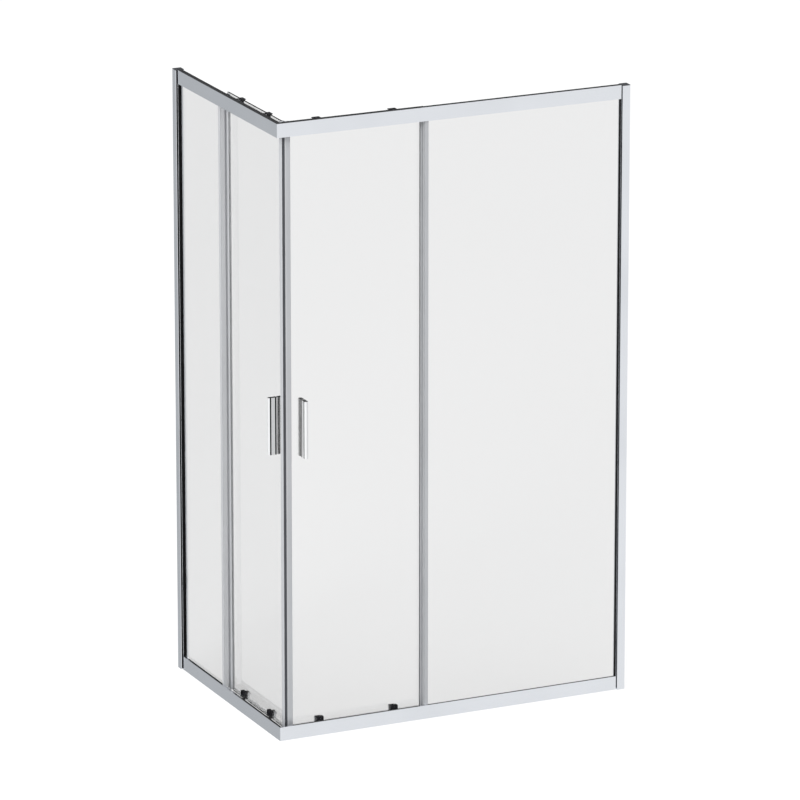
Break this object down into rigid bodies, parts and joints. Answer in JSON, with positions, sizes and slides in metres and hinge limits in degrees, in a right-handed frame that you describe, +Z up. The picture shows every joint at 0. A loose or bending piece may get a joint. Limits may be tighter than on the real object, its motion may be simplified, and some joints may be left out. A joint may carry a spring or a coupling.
{
  "type": "corner entry shower enclosure",
  "caption": "Rectangular corner-entry shower enclosure with polished frame, fixed glass panes and framed glass doors that slide apart from the corner on rollers.",
  "frame": {"origin": "on the floor, in the middle of the outer rectangle", "axes": "+X along the long side from the entry corner to its wall, +Y along the short side from the entry corner to its wall, +Z up"},
  "size_m": [1.185, 0.787, 1.95],
  "materials": {
    "polished_profile": "polished bright silver",
    "satin_profile": "satin silver",
    "clear_glass": "clear toughened",
    "dark_magnet_strip": "satin dark grey",
    "clear_seal": "translucent",
    "chrome_handle": "polished",
    "steel": "plain",
    "black_plastic": "matt black",
    "wheel_plastic": "smooth",
    "cap_plastic": "glossy grey",
    "black_gasket": "matt black",
    "stop_rubber": "matt black",
    "connector_plastic": "matt"
  },
  "bodies": {
    "frame": {"long_wall_profile": "polished_profile", "long_stile": "polished_profile", "long_top_rail": "polished_profile", "long_bottom_rail": "polished_profile", "long_fixed_glass": "clear_glass", "long_fixed_edge": "satin_profile", "short_wall_profile": "polished_profile", "short_stile": "polished_profile", "short_top_rail": "polished_profile", "short_bottom_rail": "polished_profile", "short_fixed_glass": "clear_glass", "short_fixed_edge": "satin_profile", "wall_profile_caps": "cap_plastic", "glazing_gaskets": "black_gasket", "glazing_strips": "clear_seal", "door_stops": "stop_rubber", "corner_connectors": "connector_plastic", "frame_screws": "steel"},
    "long_door": {"long_door_glass": "clear_glass", "long_lead_profile": "satin_profile", "long_magnet_seal": "dark_magnet_strip", "long_trail_profile": "satin_profile", "long_door_seals": "clear_seal", "long_outer_handle": "chrome_handle", "long_inner_handle": "chrome_handle", "long_handle_screws": "steel", "long_top_carriages": "black_plastic", "long_top_axles": "steel", "long_roller_bolts": "steel", "long_roller_housings": "black_plastic", "long_handle_inlays": "black_plastic", "long_release_spring_1": "steel", "long_release_spring_2": "steel"},
    "short_door": {"short_door_glass": "clear_glass", "short_lead_profile": "satin_profile", "short_magnet_seal": "dark_magnet_strip", "short_trail_profile": "satin_profile", "short_door_seals": "clear_seal", "short_outer_handle": "chrome_handle", "short_inner_handle": "chrome_handle", "short_handle_screws": "steel", "short_top_carriages": "black_plastic", "short_top_axles": "steel", "short_roller_bolts": "steel", "short_roller_housings": "black_plastic", "short_handle_inlays": "black_plastic", "short_release_spring_1": "steel", "short_release_spring_2": "steel"},
    "long_top_wheel_1": {"long_top_wheel_1": "wheel_plastic"},
    "long_release_plunger_1": {"long_release_plunger_1": "black_plastic"},
    "long_guide_wheel_1": {"long_guide_wheel_1": "wheel_plastic"},
    "long_top_wheel_2": {"long_top_wheel_2": "wheel_plastic"},
    "long_release_plunger_2": {"long_release_plunger_2": "black_plastic"},
    "long_guide_wheel_2": {"long_guide_wheel_2": "wheel_plastic"},
    "short_top_wheel_1": {"short_top_wheel_1": "wheel_plastic"},
    "short_release_plunger_1": {"short_release_plunger_1": "black_plastic"},
    "short_guide_wheel_1": {"short_guide_wheel_1": "wheel_plastic"},
    "short_top_wheel_2": {"short_top_wheel_2": "wheel_plastic"},
    "short_release_plunger_2": {"short_release_plunger_2": "black_plastic"},
    "short_guide_wheel_2": {"short_guide_wheel_2": "wheel_plastic"}
  },
  "joints": [
    {"name": "long_door_slide", "type": "slide", "parent": "frame", "child": "long_door", "axis": [1, 0, 0], "range_m": [0, 0.385]},
    {"name": "short_door_slide", "type": "slide", "parent": "frame", "child": "short_door", "axis": [0, 1, 0], "range_m": [0, 0.295]},
    {"name": "long_top_wheel_roll_1", "type": "hinge", "parent": "long_door", "child": "long_top_wheel_1", "pos_m": [-0.4415, -0.3655, 1.9333], "axis": [0, 1, 0], "range_deg": [0, 2322]},
    {"name": "long_release_1", "type": "slide", "parent": "long_door", "child": "long_release_plunger_1", "axis": [0, 0, 1], "range_m": [0, 0.0033], "stiffness_N_per_m": 600, "springref_m": -0.004, "deforming": ["long_release_spring_1"]},
    {"name": "long_guide_wheel_roll_1", "type": "hinge", "parent": "long_release_plunger_1", "child": "long_guide_wheel_1", "pos_m": [-0.4415, -0.3665, 0.0243], "axis": [0, 1, 0], "range_deg": [0, 2758]},
    {"name": "long_top_wheel_roll_2", "type": "hinge", "parent": "long_door", "child": "long_top_wheel_2", "pos_m": [-0.19, -0.3655, 1.9333], "axis": [0, 1, 0], "range_deg": [0, 2322]},
    {"name": "long_release_2", "type": "slide", "parent": "long_door", "child": "long_release_plunger_2", "axis": [0, 0, 1], "range_m": [0, 0.0033], "stiffness_N_per_m": 600, "springref_m": -0.004, "deforming": ["long_release_spring_2"]},
    {"name": "long_guide_wheel_roll_2", "type": "hinge", "parent": "long_release_plunger_2", "child": "long_guide_wheel_2", "pos_m": [-0.19, -0.3665, 0.0243], "axis": [0, 1, 0], "range_deg": [0, 2758]},
    {"name": "short_top_wheel_roll_1", "type": "hinge", "parent": "short_door", "child": "short_top_wheel_1", "pos_m": [-0.5645, -0.2425, 1.9333], "axis": [1, 0, 0], "range_deg": [-1780, 0]},
    {"name": "short_release_1", "type": "slide", "parent": "short_door", "child": "short_release_plunger_1", "axis": [0, 0, 1], "range_m": [0, 0.0033], "stiffness_N_per_m": 600, "springref_m": -0.004, "deforming": ["short_release_spring_1"]},
    {"name": "short_guide_wheel_roll_1", "type": "hinge", "parent": "short_release_plunger_1", "child": "short_guide_wheel_1", "pos_m": [-0.5655, -0.2425, 0.0243], "axis": [1, 0, 0], "range_deg": [-2113, 0]},
    {"name": "short_top_wheel_roll_2", "type": "hinge", "parent": "short_door", "child": "short_top_wheel_2", "pos_m": [-0.5645, -0.042, 1.9333], "axis": [1, 0, 0], "range_deg": [-1780, 0]},
    {"name": "short_release_2", "type": "slide", "parent": "short_door", "child": "short_release_plunger_2", "axis": [0, 0, 1], "range_m": [0, 0.0033], "stiffness_N_per_m": 600, "springref_m": -0.004, "deforming": ["short_release_spring_2"]},
    {"name": "short_guide_wheel_roll_2", "type": "hinge", "parent": "short_release_plunger_2", "child": "short_guide_wheel_2", "pos_m": [-0.5655, -0.042, 0.0243], "axis": [1, 0, 0], "range_deg": [-2113, 0]}
  ],
  "couplings": [
    {"joint": "long_top_wheel_roll_1", "follows": "long_door_slide", "rad_per_m": 105.26},
    {"joint": "long_guide_wheel_roll_1", "follows": "long_door_slide", "rad_per_m": 125},
    {"joint": "long_top_wheel_roll_2", "follows": "long_door_slide", "rad_per_m": 105.26},
    {"joint": "long_guide_wheel_roll_2", "follows": "long_door_slide", "rad_per_m": 125},
    {"joint": "short_top_wheel_roll_1", "follows": "short_door_slide", "rad_per_m": -105.26},
    {"joint": "short_guide_wheel_roll_1", "follows": "short_door_slide", "rad_per_m": -125},
    {"joint": "short_top_wheel_roll_2", "follows": "short_door_slide", "rad_per_m": -105.26},
    {"joint": "short_guide_wheel_roll_2", "follows": "short_door_slide", "rad_per_m": -125}
  ]
}
